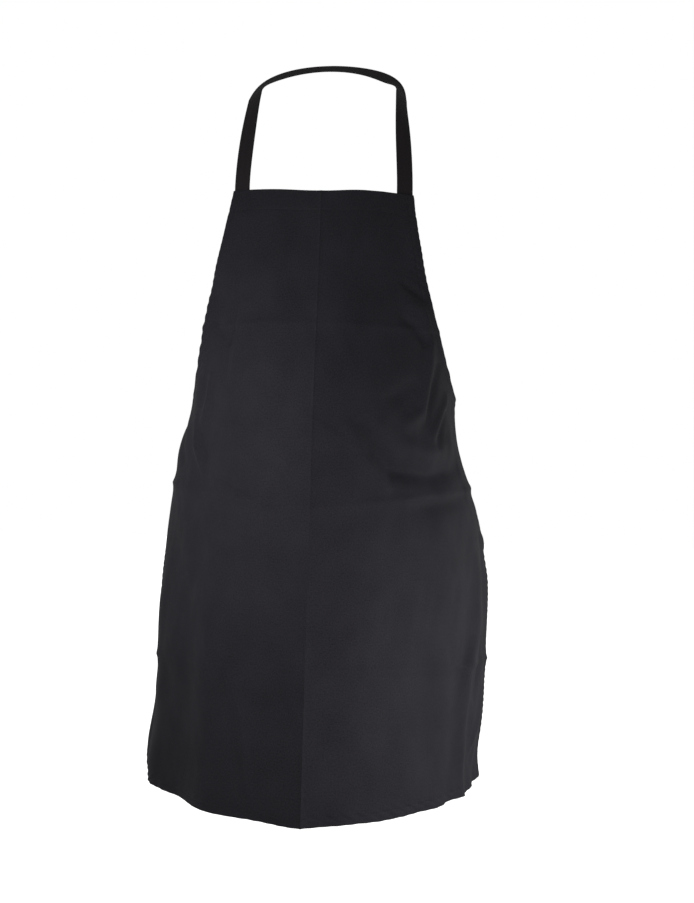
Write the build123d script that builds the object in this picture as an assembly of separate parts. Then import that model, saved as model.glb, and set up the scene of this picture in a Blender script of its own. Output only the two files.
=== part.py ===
"""Bib apron of woven cloth, shaped as it hangs on a wearer.

The row frame has +Z up and the front of the apron facing -Y. The origin is the middle of the
neck strap's underside, where the strap rests on the nape. "right" is the +X side.

The cloth is one flat cut that bends around the body. A place on it is given by two lengths
measured on the flat cut: "across", from the pressed centre crease towards a side edge, and
"down", from the bib's top edge. At each height both halves of the cloth are circular arcs that
meet at the centre crease in a shallow ridge.
"""
from build123d import *
import math
import os

# The flat cut, in millimetres
CLOTH_LENGTH = 864.0          # bib top edge to bottom edge
BIB_HALF_WIDTH = 134.0
SKIRT_HALF_WIDTH = 406.0
ARMHOLE_DEPTH = 300.0         # bib top edge to the waist corners, down the cloth
ARMHOLE_SLOPE = 0.21          # how fast the bib widens before the armhole turns outward
ARMHOLE_POWER = 3.2           # 2 would be an ellipse, more is squarer

# How the cloth bends around the body
BIB_RADIUS = 420.0
WAIST_RADIUS = 227.0
HEM_RADIUS = 325.0
WAIST_DOWN = 285.0            # where the cloth bends most closely, down from the bib top
FLARE_LENGTH = 340.0          # below the waist, until the skirt has its full radius
BIB_RIDGE = 4.0               # degrees that each half turns back from the centre crease
HEM_RIDGE = 12.0
RIDGE_LENGTH = 700.0          # down the cloth, until the ridge is at its sharpest
BIB_TOP_Z = -230.0
LEAN = 0.105                  # the cloth comes forward by this share of its length

# The line on each side where the cloth folds when a side is opened out
FOLD_X = 140.0
FOLD_TOP_Y = -135.0
FOLD_GAP = 1.0                # from the fold line to the cloth on either side

# Layers, counted from the outer face towards the body
CLOTH_THICKNESS = 1.0
LAYER_GAP = 0.5
HEM_THICKNESS = 0.8
TAPE_THICKNESS = 0.8
THREAD = 0.5
HEM_NEAR = CLOTH_THICKNESS + LAYER_GAP
HEM_FAR = HEM_NEAR + HEM_THICKNESS
TAPE_NEAR = HEM_FAR + LAYER_GAP
TAPE_FAR = TAPE_NEAR + TAPE_THICKNESS
THREAD_NEAR = -LAYER_GAP - THREAD
THREAD_FAR = -LAYER_GAP

# Hems and seams
TOP_HEM = 31.0
HEM = 12.0
SEAM_INSET = 2.0              # from a hem's folded edge to its line of stitches

# Neck strap
STRAP_WIDTH = 24.0
STRAP_ACROSS = 121.5
STRAP_END_LENGTH = 24.0
STRAP_END_TOP = -2.0          # the sewn end stands this far above the bib edge
STRAP_HINGE_DOWN = -2.6       # the strap bends here, just above the bib edge
STRAP_START = -6.0            # clear of the sewn end when the apron swings
LOOP_HALF_WIDTH = 110.0       # the part of the strap that lies around the neck
LOOP_REACH = 75.0             # how far the loop comes forward of the nape
LOOP_DROP = 70.0              # how far it falls by then
STRAP_STIFFNESS = 45.0        # how far each end of the straight run keeps its direction
LOOP_STEPS = 9
RUN_STEPS = 8

# Waist ties
TIE_WIDTH = 22.0
TIE_LENGTH = 590.0            # the free part, below its hinge
TIE_END_LENGTH = 25.0         # the part sewn to the cloth
TIE_PIVOT_OUT = 12.0          # from the cloth's side edge to the tie's hinge
TIE_DOWN = ARMHOLE_DEPTH + 1.0 + TIE_WIDTH / 2

# Box stitching that holds the tape ends
BOX_INSET = 3.0
BOX_LENGTH = 16.0

ARMHOLE_STEPS = 40
PANEL_STEPS = 48
DROP = math.sqrt(1.0 - LEAN * LEAN)
SIDES = {"left": -1, "right": 1}


# ---------------------------------------------------------------- the cloth's shape

def smooth(share):
    """Ease from 0 to 1 with level ends."""
    share = min(max(share, 0.0), 1.0)
    return share * share * (3.0 - 2.0 * share)


def half_width(down):
    """Flat distance from the centre crease to the cloth's edge."""
    if down >= ARMHOLE_DEPTH:
        return SKIRT_HALF_WIDTH
    straight = ARMHOLE_SLOPE * down
    reach = SKIRT_HALF_WIDTH - BIB_HALF_WIDTH - ARMHOLE_SLOPE * ARMHOLE_DEPTH
    share = max(down, 0.0) / ARMHOLE_DEPTH
    turn = 1.0 - (1.0 - share ** ARMHOLE_POWER) ** (1.0 / ARMHOLE_POWER)
    return BIB_HALF_WIDTH + straight + reach * turn


def body_radius(down):
    if down < WAIST_DOWN:
        return BIB_RADIUS + (WAIST_RADIUS - BIB_RADIUS) * smooth(down / WAIST_DOWN)
    flare = smooth((down - WAIST_DOWN) / FLARE_LENGTH)
    return WAIST_RADIUS + (HEM_RADIUS - WAIST_RADIUS) * flare


def ridge_angle(down):
    return math.radians(BIB_RIDGE + (HEM_RIDGE - BIB_RIDGE) * smooth(down / RIDGE_LENGTH))


def fold_angle(down):
    """Angle of the cloth where it crosses the fold line."""
    return math.asin(FOLD_X / body_radius(down) + math.sin(ridge_angle(down)))


def fold_across(down):
    return body_radius(down) * (fold_angle(down) - ridge_angle(down))


def crease_y(down):
    """Y of the centre crease, set so that the fold line is straight."""
    radius = body_radius(down)
    back = radius * (math.cos(ridge_angle(down)) - math.cos(fold_angle(down)))
    return FOLD_TOP_Y - LEAN * down - back


def cloth_angle(across, down):
    return ridge_angle(down) + across / body_radius(down)


def arc_point(side, angle, down, depth):
    """Point at an angle around the body, depth millimetres under the outer face."""
    radius = body_radius(down)
    ridge = ridge_angle(down)
    x = (radius - depth) * math.sin(angle) - radius * math.sin(ridge)
    y = crease_y(down) + radius * math.cos(ridge) - (radius - depth) * math.cos(angle)
    return Vector(side * x, y, BIB_TOP_Z - DROP * down)


def cloth_point(side, across, down, depth):
    return arc_point(side, cloth_angle(across, down), down, depth)


def armhole_steps(start):
    """Distances down the armhole from start to the waist corner, closer where it turns."""
    first = math.asin((start / ARMHOLE_DEPTH) ** (ARMHOLE_POWER / 2.0))
    steps = []
    for index in range(ARMHOLE_STEPS + 1):
        turn = first + (math.pi / 2 - first) * index / ARMHOLE_STEPS
        steps.append(ARMHOLE_DEPTH * math.sin(turn) ** (2.0 / ARMHOLE_POWER))
    return steps


def armhole_crosses(past_fold):
    """Distance down at which the armhole edge is past_fold beyond the fold line."""
    low, high = 0.0, ARMHOLE_DEPTH
    while high - low > 0.01:
        middle = (low + high) / 2
        if half_width(middle) - fold_across(middle) < past_fold:
            low = middle
        else:
            high = middle
    return high


def even_steps(start, end, count):
    return [start + (end - start) * index / count for index in range(count + 1)]


# ---------------------------------------------------------------- solids on the cloth

def side_section(side, down, low, high, near, far):
    """Outline at one height: an outer arc, an inner arc and two short ends."""
    angles = [cloth_angle(across, down) for across in (low, (low + high) / 2, high)]
    outer = [arc_point(side, angle, down, near) for angle in angles]
    inner = [arc_point(side, angle, down, far) for angle in angles]
    return Wire([
        Edge.make_three_point_arc(*outer),
        Edge.make_line(outer[2], inner[2]),
        Edge.make_three_point_arc(inner[2], inner[1], inner[0]),
        Edge.make_line(inner[0], outer[0]),
    ])


def crease_point(down, depth):
    """Where the two halves meet at the centre crease."""
    sine = body_radius(down) * math.sin(ridge_angle(down)) / (body_radius(down) - depth)
    return arc_point(1, math.asin(sine), down, depth)


def half_arc(side, down, high, depth):
    """Arc from the centre crease to high."""
    middle = cloth_point(side, high / 2, down, depth)
    return Edge.make_three_point_arc(crease_point(down, depth), middle,
                                     cloth_point(side, high, down, depth))


def centre_section(down, high, near, far):
    """Outline at one height across both halves, from -high to +high."""
    edges = []
    for side in SIDES.values():
        edges.append(half_arc(side, down, high, near))
        edges.append(half_arc(side, down, high, far))
        edges.append(Edge.make_line(cloth_point(side, high, down, near),
                                    cloth_point(side, high, down, far)))
    return Wire(edges)


def side_band(side, downs, low, high, near, far):
    """Solid on one side, between the functions low(down) and high(down)."""
    sections = [side_section(side, down, low(down), high(down), near, far) for down in downs]
    return Solid.make_loft(sections, ruled=True)


def centre_band(downs, high, near, far):
    sections = [centre_section(down, high(down), near, far) for down in downs]
    return Solid.make_loft(sections, ruled=True)


def strip(side, outer_rail, inner_rail, near, far):
    """Solid between two rails of (across, down) places on the cloth."""
    sections = []
    for outer, inner in zip(outer_rail, inner_rail):
        start = cloth_point(side, *outer, near)
        end = cloth_point(side, *inner, near)
        middle_across = (outer[0] + inner[0]) / 2
        middle_down = (outer[1] + inner[1]) / 2
        through = (cloth_point(side, middle_across, middle_down, far)
                   - cloth_point(side, middle_across, middle_down, near))
        corners = [start, end, end + through, start + through]
        sections.append(Wire.make_polygon(corners, close=True))
    return Solid.make_loft(sections, ruled=True)


def thread_line(side, start, end):
    """A straight line of thread on the outer face, between two (across, down) places."""
    along = (end[0] - start[0], end[1] - start[1])
    length = math.hypot(*along)
    shift = (-along[1] / length * THREAD / 2, along[0] / length * THREAD / 2)
    rail = [start, end]
    left_rail = [(place[0] + shift[0], place[1] + shift[1]) for place in rail]
    right_rail = [(place[0] - shift[0], place[1] - shift[1]) for place in rail]
    return strip(side, left_rail, right_rail, THREAD_NEAR, THREAD_FAR)


def centre_limit(down):
    """Edge of the centre cloth: the armhole at first, then the fold line."""
    return min(half_width(down), fold_across(down) - FOLD_GAP)


def side_start(down):
    return fold_across(down) + FOLD_GAP


# ---------------------------------------------------------------- front of the apron

def make_panel_centre():
    corner = armhole_crosses(-FOLD_GAP)
    downs = [0.0, corner / 2] + even_steps(corner, CLOTH_LENGTH, PANEL_STEPS)
    return centre_band(downs, centre_limit, 0.0, CLOTH_THICKNESS)


def make_top_hem():
    return centre_band([0.0, TOP_HEM], half_width, HEM_NEAR, HEM_FAR)


def make_top_hem_seam():
    line = TOP_HEM - SEAM_INSET
    return centre_band([line, line + THREAD], half_width, THREAD_NEAR, THREAD_FAR)


def make_bottom_hem_centre():
    return centre_band([CLOTH_LENGTH - HEM, CLOTH_LENGTH], centre_limit, HEM_NEAR, HEM_FAR)


def bottom_seam_downs():
    line = CLOTH_LENGTH - HEM + SEAM_INSET
    return [line, line + THREAD]


def make_bottom_seam_centre():
    return centre_band(bottom_seam_downs(), centre_limit, THREAD_NEAR, THREAD_FAR)


def box_stitches(side, across, down, width, length):
    """A sewn box with a cross inside it, centred at (across, down)."""
    low = (across - width / 2, down - length / 2)
    high = (across + width / 2, down + length / 2)
    gap = THREAD
    lines = [
        ((low[0] + gap, low[1]), (high[0] - gap, low[1])),
        ((low[0] + gap, high[1]), (high[0] - gap, high[1])),
        ((low[0], low[1]), (low[0], high[1])),
        ((high[0], low[1]), (high[0], high[1])),
        ((low[0] + 2 * gap, low[1] + 2 * gap), (high[0] - 2 * gap, high[1] - 2 * gap)),
    ]
    middle = (across, down)
    for end in ((low[0] + 2 * gap, high[1] - 2 * gap), (high[0] - 2 * gap, low[1] + 2 * gap)):
        share = 2 * gap / math.dist(middle, end)
        start = tuple(middle[i] + (end[i] - middle[i]) * share for i in range(2))
        lines.append((start, end))
    return Compound([thread_line(side, start, end) for start, end in lines])


def make_strap_end(side):
    rails = []
    for edge in (STRAP_ACROSS + STRAP_WIDTH / 2, STRAP_ACROSS - STRAP_WIDTH / 2):
        rails.append([(edge, STRAP_END_TOP), (edge, STRAP_END_LENGTH)])
    return strip(side, rails[0], rails[1], TAPE_NEAR, TAPE_FAR)


def make_strap_stitching(side):
    middle = BOX_INSET + BOX_LENGTH / 2
    return box_stitches(side, STRAP_ACROSS, middle, STRAP_WIDTH - 2 * BOX_INSET, BOX_LENGTH)


# ---------------------------------------------------------------- armhole hems

def armhole_normal(down):
    """Unit direction (across, down) that points from the armhole edge into the cloth."""
    step = 0.01
    if down > ARMHOLE_DEPTH - 2 * step:
        return (0.0, 1.0)
    slope = (half_width(down + step) - half_width(down - step)) / (2 * step)
    length = math.hypot(1.0, slope)
    return (-1.0 / length, slope / length)


def inside_armhole(down, inset):
    """Place on the cloth that lies inset millimetres in from the armhole edge."""
    normal = armhole_normal(down)
    return (half_width(down) + inset * normal[0], down + inset * normal[1])


def armhole_strip(side, downs, outset, inset, near, far, clip):
    """Strip along the armhole; clip moves a place off the fold line where it must."""
    outer = [clip(*inside_armhole(down, outset)) for down in downs]
    inner = [clip(*inside_armhole(down, inset)) for down in downs]
    return strip(side, outer, inner, near, far)


def keep_on_front(across, down):
    return (min(across, fold_across(down) - FOLD_GAP), down)


def keep_on_side(across, down):
    return (max(across, fold_across(down) + FOLD_GAP), down)


def make_armhole_pieces(side):
    """The armhole hem and its seam, each as a part on the front and a part on the side."""
    top = TOP_HEM + LAYER_GAP
    shoulder = even_steps(top, armhole_crosses(HEM - 2 * FOLD_GAP), ARMHOLE_STEPS // 2)
    below = armhole_steps(armhole_crosses(2 * FOLD_GAP))
    line = HEM - SEAM_INSET
    seam_top = even_steps(top, armhole_crosses(line - 2 * FOLD_GAP), ARMHOLE_STEPS // 2)
    beside_tie = SKIRT_HALF_WIDTH - TIE_END_LENGTH
    seam_below = [down for down in armhole_steps(armhole_crosses(line + 2 * FOLD_GAP))
                  if half_width(down) < beside_tie]
    return {
        "armhole_hem_upper": armhole_strip(side, shoulder, 0.0, HEM, HEM_NEAR, HEM_FAR,
                                           keep_on_front),
        "armhole_hem_lower": armhole_strip(side, below, 0.0, HEM, HEM_NEAR, HEM_FAR,
                                           keep_on_side),
        "armhole_seam_upper": armhole_strip(side, seam_top, line, line + THREAD,
                                            THREAD_NEAR, THREAD_FAR, keep_on_front),
        "armhole_seam_lower": armhole_strip(side, seam_below, line, line + THREAD,
                                            THREAD_NEAR, THREAD_FAR, keep_on_side),
    }


# ---------------------------------------------------------------- sides of the apron

def make_panel_side(side):
    downs = armhole_steps(armhole_crosses(2 * FOLD_GAP))
    downs += even_steps(ARMHOLE_DEPTH, CLOTH_LENGTH, PANEL_STEPS)[1:]
    return side_band(side, downs, side_start, half_width, 0.0, CLOTH_THICKNESS)


def make_side_hem(side):
    downs = even_steps(ARMHOLE_DEPTH + HEM + LAYER_GAP, CLOTH_LENGTH - HEM - LAYER_GAP,
                       PANEL_STEPS)
    outer = [(SKIRT_HALF_WIDTH, down) for down in downs]
    inner = [(SKIRT_HALF_WIDTH - HEM, down) for down in downs]
    return strip(side, outer, inner, HEM_NEAR, HEM_FAR)


def make_side_seam(side):
    """Line of thread along the side hem, below the tie."""
    downs = even_steps(TIE_DOWN + TIE_WIDTH / 2, CLOTH_LENGTH - HEM, PANEL_STEPS)
    line = SKIRT_HALF_WIDTH - HEM + SEAM_INSET
    outer = [(line + THREAD, down) for down in downs]
    inner = [(line, down) for down in downs]
    return strip(side, outer, inner, THREAD_NEAR, THREAD_FAR)


def make_bottom_hem_side(side):
    return side_band(side, [CLOTH_LENGTH - HEM, CLOTH_LENGTH], side_start, half_width,
                     HEM_NEAR, HEM_FAR)


def make_bottom_seam_side(side):
    def high(down):
        return half_width(down) - HEM

    return side_band(side, bottom_seam_downs(), side_start, high, THREAD_NEAR, THREAD_FAR)


def make_tie_end(side):
    rails = []
    for down in (TIE_DOWN - TIE_WIDTH / 2, TIE_DOWN + TIE_WIDTH / 2):
        rails.append([(SKIRT_HALF_WIDTH, down), (SKIRT_HALF_WIDTH - TIE_END_LENGTH, down)])
    return strip(side, rails[0], rails[1], TAPE_NEAR, TAPE_FAR)


def make_tie_stitching(side):
    across = SKIRT_HALF_WIDTH - BOX_INSET - BOX_LENGTH / 2
    return box_stitches(side, across, TIE_DOWN, BOX_LENGTH, TIE_WIDTH - 2 * BOX_INSET)


def make_tie(side):
    """Flat tape that hangs straight down, with a round end about its hinge."""
    across = SKIRT_HALF_WIDTH + TIE_PIVOT_OUT
    pivot = cloth_point(side, across, TIE_DOWN, (TAPE_NEAR + TAPE_FAR) / 2)
    angle = cloth_angle(across, TIE_DOWN)
    outward = Vector(side * math.sin(angle), -math.cos(angle), 0)
    plane = Plane(origin=pivot, x_dir=outward.cross(Vector(0, 0, 1)), z_dir=outward)
    tape = Pos(0, TIE_LENGTH / 2) * Rectangle(TIE_WIDTH, TIE_LENGTH)
    if plane.y_dir.Z > 0:
        tape = Pos(0, -TIE_LENGTH / 2) * Rectangle(TIE_WIDTH, TIE_LENGTH)
    outline = tape + Circle(TIE_WIDTH / 2)
    return extrude(plane * outline, amount=TAPE_THICKNESS / 2, both=True)


# ---------------------------------------------------------------- neck strap

def bezier(points, share):
    """Point and direction on a cubic curve."""
    rest = 1.0 - share
    a, b, c, d = points
    place = a * rest ** 3 + b * (3 * rest ** 2 * share) + c * (3 * rest * share ** 2) + d * share ** 3
    heading = (b - a) * rest ** 2 + (c - b) * (2 * rest * share) + (d - c) * share ** 2
    return place, heading.normalized()


def strap_run():
    """Stations (place, heading, width direction) from the right of the bib up to the loop."""
    depth = (TAPE_NEAR + TAPE_FAR) / 2
    start = cloth_point(1, STRAP_ACROSS, STRAP_START, depth)
    up = Vector(0, LEAN, DROP)
    forward = Vector(0, -LOOP_REACH, -LOOP_DROP).normalized()
    end = Vector(LOOP_HALF_WIDTH, -LOOP_REACH, -LOOP_DROP)
    points = (start, start + up * STRAP_STIFFNESS, end + forward * STRAP_STIFFNESS, end)
    angle = cloth_angle(STRAP_ACROSS, STRAP_START)
    stations = []
    for index in range(RUN_STEPS):
        share = index / RUN_STEPS
        turn = angle * (1.0 - smooth(share))
        place, heading = bezier(points, share)
        stations.append((place, heading, Vector(math.cos(turn), math.sin(turn), 0)))
    return stations


def strap_loop():
    """Stations around the neck, from the right side to the nape."""
    stations = []
    for index in range(LOOP_STEPS):
        turn = math.pi / 2 * (1.0 - index / LOOP_STEPS)
        back = 1.0 - math.cos(turn)
        place = Vector(LOOP_HALF_WIDTH * math.sin(turn), -LOOP_REACH * back, -LOOP_DROP * back)
        heading = Vector(-LOOP_HALF_WIDTH * math.cos(turn), LOOP_REACH * math.sin(turn),
                         LOOP_DROP * math.sin(turn)).normalized()
        width = Vector(LOOP_REACH * math.sin(turn), LOOP_HALF_WIDTH * math.cos(turn), 0)
        stations.append((place, heading, width.normalized()))
    nape = (Vector(0, 0, 0), Vector(-1, 0, 0), Vector(0, 1, 0))
    return stations + [nape]


def mirrored(station):
    """The same station on the left, still heading from the right to the left."""
    place, heading, width = station
    return (
        Vector(-place.X, place.Y, place.Z),
        Vector(heading.X, -heading.Y, -heading.Z),
        Vector(-width.X, width.Y, width.Z),
    )


def tape_section(station):
    """Outline of the tape, which lies above the strap's path."""
    place, heading, width = station
    across = (width - heading * width.dot(heading)).normalized() * (STRAP_WIDTH / 2)
    middle = place + Vector(0, 0, TAPE_THICKNESS / 2)
    through = heading.cross(across).normalized() * (TAPE_THICKNESS / 2)
    corners = [middle + across + through, middle - across + through,
               middle - across - through, middle + across - through]
    return Wire.make_polygon(corners, close=True)


def make_neck_strap():
    half = strap_run() + strap_loop()
    whole = half + [mirrored(station) for station in reversed(half[:-1])]
    return Solid.make_loft([tape_section(station) for station in whole], ruled=True)


# ---------------------------------------------------------------- all nodes

def make_nodes():
    nodes = {
        "neck_strap": make_neck_strap(),
        "panel_centre": make_panel_centre(),
        "bib_top_hem": make_top_hem(),
        "bib_top_seam": make_top_hem_seam(),
        "bottom_hem_centre": make_bottom_hem_centre(),
        "bottom_seam_centre": make_bottom_seam_centre(),
    }
    makers = {
        "panel_side": make_panel_side,
        "side_hem": make_side_hem,
        "side_seam": make_side_seam,
        "bottom_hem": make_bottom_hem_side,
        "bottom_seam": make_bottom_seam_side,
        "strap_end": make_strap_end,
        "strap_stitching": make_strap_stitching,
        "tie_end": make_tie_end,
        "tie_stitching": make_tie_stitching,
        "tie": make_tie,
    }
    for name, side in SIDES.items():
        for node, maker in makers.items():
            nodes[f"{node}_{name}"] = maker(side)
        for node, shape in make_armhole_pieces(side).items():
            nodes[f"{node}_{name}"] = shape
    return nodes


def print_joint_places():
    """Show where the joints are, in metres."""
    strap_depth = (TAPE_NEAR + TAPE_FAR) / 2
    bib_hinge = cloth_point(1, STRAP_ACROSS, STRAP_HINGE_DOWN, strap_depth) * 0.001
    print("bib hinge", [round(value, 5) for value in (0, bib_hinge.Y, bib_hinge.Z)])
    for name, side in SIDES.items():
        fold = Vector(side * FOLD_X, FOLD_TOP_Y, BIB_TOP_Z) * 0.001
        across = SKIRT_HALF_WIDTH + TIE_PIVOT_OUT
        pivot = cloth_point(side, across, TIE_DOWN, strap_depth) * 0.001
        angle = cloth_angle(across, TIE_DOWN)
        normal = (side * math.sin(angle), -math.cos(angle), 0)
        print(name, "fold", [round(value, 5) for value in fold],
              "axis", [0, round(-LEAN, 5), round(-DROP, 5)])
        print(name, "tie", [round(value, 5) for value in pivot],
              "axis", [round(value, 5) for value in normal])


os.makedirs("parts", exist_ok=True)
for node_name, node_shape in make_nodes().items():
    export_step(node_shape, f"parts/{node_name}.step")
print_joint_places()
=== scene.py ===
"""A black cloth bib apron, shaped as worn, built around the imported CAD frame.

Lengths are metres. The cloth is one flat cut, and a place on it is "across" from the pressed
centre crease (always positive, with side -1 for left and 1 for right) and "down" from the bib's
top edge. cloth_points() bends that cut around the body as the CAD model does, and adds the
relief of its soft folds, so that every hem and stitch follows the cloth.
"""

import math

import bpy
import numpy as np
from mathutils import Matrix, Vector


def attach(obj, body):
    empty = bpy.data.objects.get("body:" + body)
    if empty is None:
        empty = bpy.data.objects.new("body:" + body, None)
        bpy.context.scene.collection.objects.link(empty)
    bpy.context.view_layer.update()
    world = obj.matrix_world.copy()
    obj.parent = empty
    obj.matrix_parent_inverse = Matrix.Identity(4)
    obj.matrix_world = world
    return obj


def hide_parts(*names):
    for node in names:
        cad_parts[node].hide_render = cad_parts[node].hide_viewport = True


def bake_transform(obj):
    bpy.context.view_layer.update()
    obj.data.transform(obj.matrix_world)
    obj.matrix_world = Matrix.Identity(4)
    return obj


MM = 0.001

# The flat cut
CLOTH_LENGTH = 864 * MM
BIB_HALF_WIDTH = 134 * MM
SKIRT_HALF_WIDTH = 406 * MM
ARMHOLE_DEPTH = 300 * MM
ARMHOLE_SLOPE = 0.21
ARMHOLE_POWER = 3.2

# How the cloth bends around the body; the ridges are in degrees
BIB_RADIUS = 420 * MM
WAIST_RADIUS = 227 * MM
HEM_RADIUS = 325 * MM
WAIST_DOWN = 285 * MM
FLARE_LENGTH = 340 * MM
BIB_RIDGE = 4.0
HEM_RIDGE = 12.0
RIDGE_LENGTH = 700 * MM
CREASE_BLEND = 30 * MM
BIB_TOP_Z = -230 * MM
LEAN = 0.105
DROP = math.sqrt(1.0 - LEAN ** 2)
FOLD_X = 140 * MM
FOLD_TOP_Y = -135 * MM

# Layers and hems
CLOTH_THICKNESS = 0.9 * MM
HEM_NEAR = 1.05 * MM
HEM_FAR = 1.95 * MM
TOP_HEM = 31 * MM
HEM = 12 * MM
SEAM_INSET = 2 * MM
ARMHOLE_HEM_GAP = 0.6 * MM
TAPE_DEPTH = 3.2 * MM
TAPE_THICKNESS = 1.0 * MM
TAPE_COLUMNS = 13
SELVEDGE_SWELL = 0.18
SELVEDGE_ROUNDING = 0.55

# Neck strap; its loop starts at a corner on each side of the neck
STRAP_WIDTH = 24 * MM
STRAP_ACROSS = 121.5 * MM
STRAP_END_LENGTH = 24 * MM
STRAP_START = -6 * MM
STRAP_STIFFNESS = 45 * MM
LOOP_HALF_WIDTH = 110 * MM
LOOP_REACH = 75 * MM
LOOP_DROP = 70 * MM

# How the tape turns about its own line, for each side: turn at the loop's corner, turn at the
# nape, and how far past the corner that second turn comes in
LOOP_TWIST = {-1: (-0.56, 0.70, 75 * MM), 1: (0.85, -0.70, 46 * MM)}
TWIST_BELOW = 85 * MM
TWIST_ABOVE = 45 * MM

# Waist ties
TIE_WIDTH = 22 * MM
TIE_LENGTH = 590 * MM
TIE_END_LENGTH = 25 * MM
TIE_PIVOT_OUT = 12 * MM
TIE_HEM = 10 * MM
TIE_TURN_RADIUS = 2.2 * MM
TIE_FINE_LENGTH = 40 * MM
TIE_SEAM_REACH = 6 * MM
TIE_TWIST_START = 120 * MM
TIE_STRAIGHT = 200 * MM
TIE_DOWN = ARMHOLE_DEPTH + 1 * MM + TIE_WIDTH / 2

# Slow waves along the free tie: size, angle over the tie's length, angle at its start, and how
# much that differs left and right
TIE_SWAY = (8 * MM, 5.0, 0.0, 0.0)
TIE_DRIFT = (7 * MM, 6.5, 1.0, 0.6)
TIE_TWIST = (0.9, 4.2, 0.0, 0.3)

# Stitches, and the sewn boxes that hold the tape ends: width, length and place of their middle
STITCH_PITCH = 3.1 * MM
STITCH_LENGTH = 2.5 * MM
STITCH_WIDTH = 0.55 * MM
STITCH_HEIGHT = 0.34 * MM
STITCH_SIDES = 6
THREAD_LIFT = 0.05 * MM
BOX_LENGTH = 16 * MM
STRAP_BOX_WIDTH = 14 * MM
TIE_BOX_WIDTH = 16 * MM
BOX_FROM_EDGE = 12 * MM

# Mesh density: usual spacing, spacing near seams and ironed creases, and how far that reaches
COARSE = 3.6 * MM
FINE = 1.0 * MM
FINE_REACH = 4 * MM
SPACING_SAMPLES = 4000
SHARP_ANGLE = math.radians(55)

# Rows of points along the hems and the tapes, and samples for the armhole's curve and the area
TOP_ROWS = 60
ARMHOLE_ROWS = 150
SIDE_ROWS = 170
BOTTOM_ROWS = 140
SEWN_ROWS = 16
RUN_ROWS = 60
LOOP_ROWS = 70
TIE_ROWS = (12, 46, 120)
CURVE_SAMPLES = 1200
ROUGH_SAMPLES = 600

# The cloth's rows are level at the bib's top and fan out further down: both as shares of the
# armhole's length
FAN_START = 0.1
FAN_LENGTH = 0.2

# Weave: pitches and slant, then how much each part adds to the height and to the tone
TWILL_PITCH = 0.9 * MM
TWILL_SLANT = math.radians(52)
WEFT_PITCH = TWILL_PITCH * 0.6
WEFT_HEIGHT = 0.4
LINT_HEIGHT = 0.9
# The weave's share of the tone is a painted highlight: the twill ridges are coloured lighter, as if
# they caught the light
WEAVE_HIGHLIGHT_TONE = 0.22
FADING_TONE = 0.35
LINT_TONE = 1.0
TAPE_CHEVRON = 5 * MM
TAPE_RIB_PITCH = 1.1 * MM
TAPE_RIB_TONE = 0.35
TAPE_LINT_TONE = 0.7
BUMP_STRENGTH = 0.6
SHEEN_ROUGHNESS = 0.38

# Colours: the darkest and the lightest that each material gets
CLOTH_DARK = (0.0105, 0.0098, 0.0125)
CLOTH_LIGHT = (0.0280, 0.0265, 0.0330)
TAPE_DARK = (0.0126, 0.0108, 0.0122)
TAPE_LIGHT = (0.0305, 0.0266, 0.0290)
THREAD_DARK = (0.010, 0.0095, 0.012)
THREAD_LIGHT = (0.026, 0.025, 0.030)

# Where the centre crease lies in the weave's flat coordinates
FLAT_CENTRE = 0.5

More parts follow.
